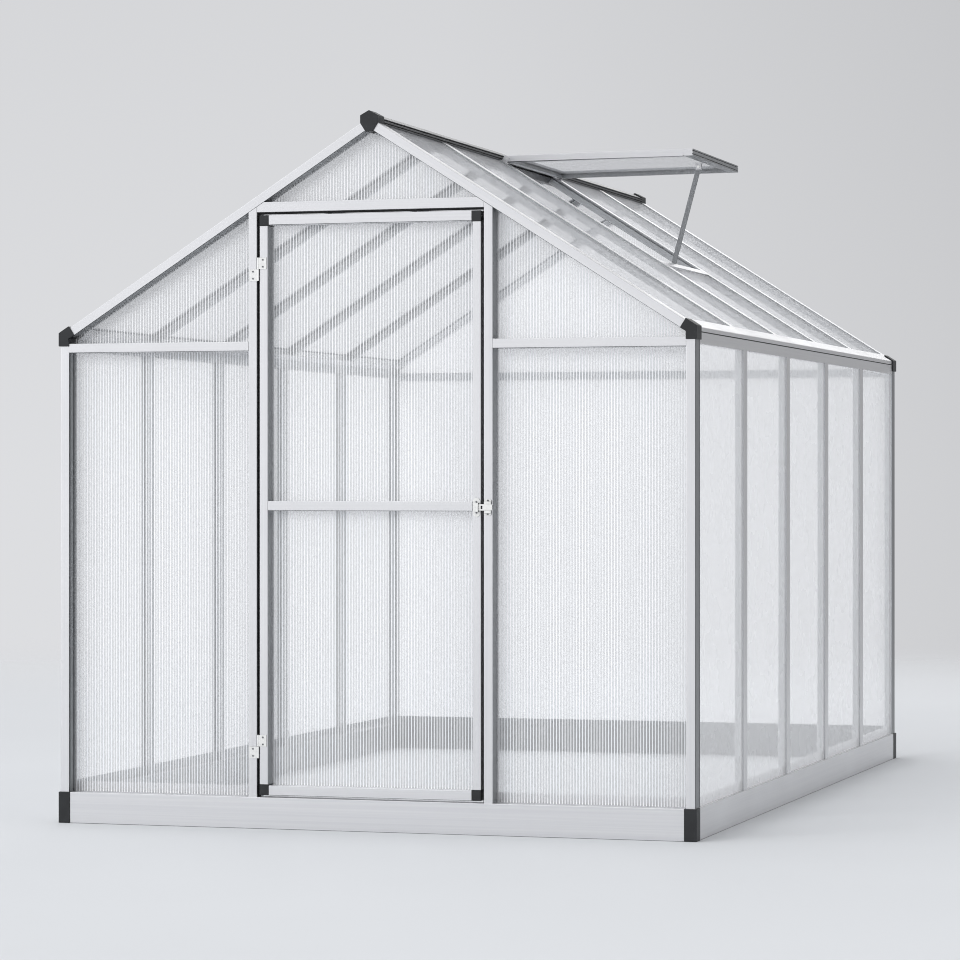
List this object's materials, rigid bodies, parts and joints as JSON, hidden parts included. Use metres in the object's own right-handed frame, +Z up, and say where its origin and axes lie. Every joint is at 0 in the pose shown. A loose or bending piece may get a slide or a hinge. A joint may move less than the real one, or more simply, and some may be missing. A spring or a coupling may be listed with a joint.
{
  "type": "walk-in greenhouse",
  "caption": "Walk-in gable greenhouse with an aluminium frame, clear twin-wall sheets, a hinged front door and a roof vent held open by a stay.",
  "frame": {"origin": "on the ground under the middle of the base", "axes": "+Z up, +Y along the ridge away from the door, +X to the right as seen facing the door"},
  "size_m": [1.9, 3.0863, 2.0395],
  "materials": {
    "aluminium_satin": "satin, mill anodised",
    "aluminium_dark": "charcoal powder coat",
    "plastic_black": "moulded, matte",
    "polycarbonate_clear": "clear, glossy, fluted",
    "steel_zinc": "zinc plated",
    "rubber_black": "matte"
  },
  "bodies": {
    "frame": {"bar_nuts": "steel_zinc", "base_corner_caps": "plastic_black", "base_rail_front": "aluminium_satin", "base_rail_left": "aluminium_satin", "base_rail_rear": "aluminium_satin", "base_rail_right": "aluminium_satin", "corner_post_front_left": "aluminium_satin", "corner_post_front_right": "aluminium_satin", "corner_posts_rear": "aluminium_satin", "door_lintel": "aluminium_satin", "door_post_left": "aluminium_satin", "door_post_right": "aluminium_satin", "door_seals": "rubber_black", "eave_beam_left": "aluminium_satin", "eave_beam_right": "aluminium_satin", "eave_corner_caps": "plastic_black", "front_gable_sheets": "polycarbonate_clear", "front_girts": "aluminium_satin", "gable_rafter_front_left": "aluminium_satin", "gable_rafter_front_right": "aluminium_satin", "gable_rafters_rear": "aluminium_satin", "hinge_pins": "steel_zinc", "hinge_post_leaves": "steel_zinc", "latch_keeper": "steel_zinc", "post_screws": "steel_zinc", "rear_gable_sheets": "polycarbonate_clear", "rear_girt": "aluminium_satin", "ridge_beam": "aluminium_dark", "ridge_end_caps": "plastic_black", "roof_bars_left": "aluminium_satin", "roof_bars_right": "aluminium_satin", "roof_sheets_left": "polycarbonate_clear", "roof_sheets_right": "polycarbonate_clear", "vent_hinge_brackets": "steel_zinc", "vent_hinge_pins": "steel_zinc", "vent_sill_bar": "aluminium_satin", "wall_bars_left": "aluminium_satin", "wall_bars_right": "aluminium_satin", "wall_sheets_left": "polycarbonate_clear", "wall_sheets_right": "polycarbonate_clear"},
    "door": {"door_stile_hinge": "aluminium_satin", "door_stile_latch": "aluminium_satin", "door_top_rail": "aluminium_satin", "door_middle_rail": "aluminium_satin", "door_bottom_rail": "aluminium_satin", "door_corner_blocks": "plastic_black", "door_sheet_upper": "polycarbonate_clear", "door_sheet_lower": "polycarbonate_clear", "hinge_door_leaves": "steel_zinc", "latch_plate": "steel_zinc", "door_screws": "steel_zinc"},
    "latch": {"latch_bolt": "steel_zinc"},
    "vent": {"vent_side_bars": "aluminium_satin", "vent_top_bar": "aluminium_satin", "vent_bottom_bar": "aluminium_satin", "vent_sheet": "polycarbonate_clear", "stay_bracket": "steel_zinc", "stay_rivet": "steel_zinc"},
    "stay": {"stay_arm": "steel_zinc"}
  },
  "joints": [
    {"name": "door_swing", "type": "hinge", "parent": "frame", "child": "door", "pos_m": [-0.334, -1.535, 0.924], "axis": [0, 0, -1], "range_deg": [0, 100]},
    {"name": "latch_slide", "type": "slide", "parent": "door", "child": "latch", "axis": [-1, 0, 0], "range_m": [0, 0.03]},
    {"name": "vent_swing", "type": "hinge", "parent": "frame", "child": "vent", "pos_m": [0.04494, 0, 2.00682], "axis": [0, 1, 0], "range_deg": [0, 33]},
    {"name": "stay_fold", "type": "hinge", "parent": "vent", "child": "stay", "pos_m": [0.60512, -0.06, 1.9887], "axis": [0, 1, 0], "range_deg": [0, 70]}
  ],
  "couplings": [
    {"joint": "stay_fold", "follows": "vent_swing", "ratio": 2.09}
  ]
}
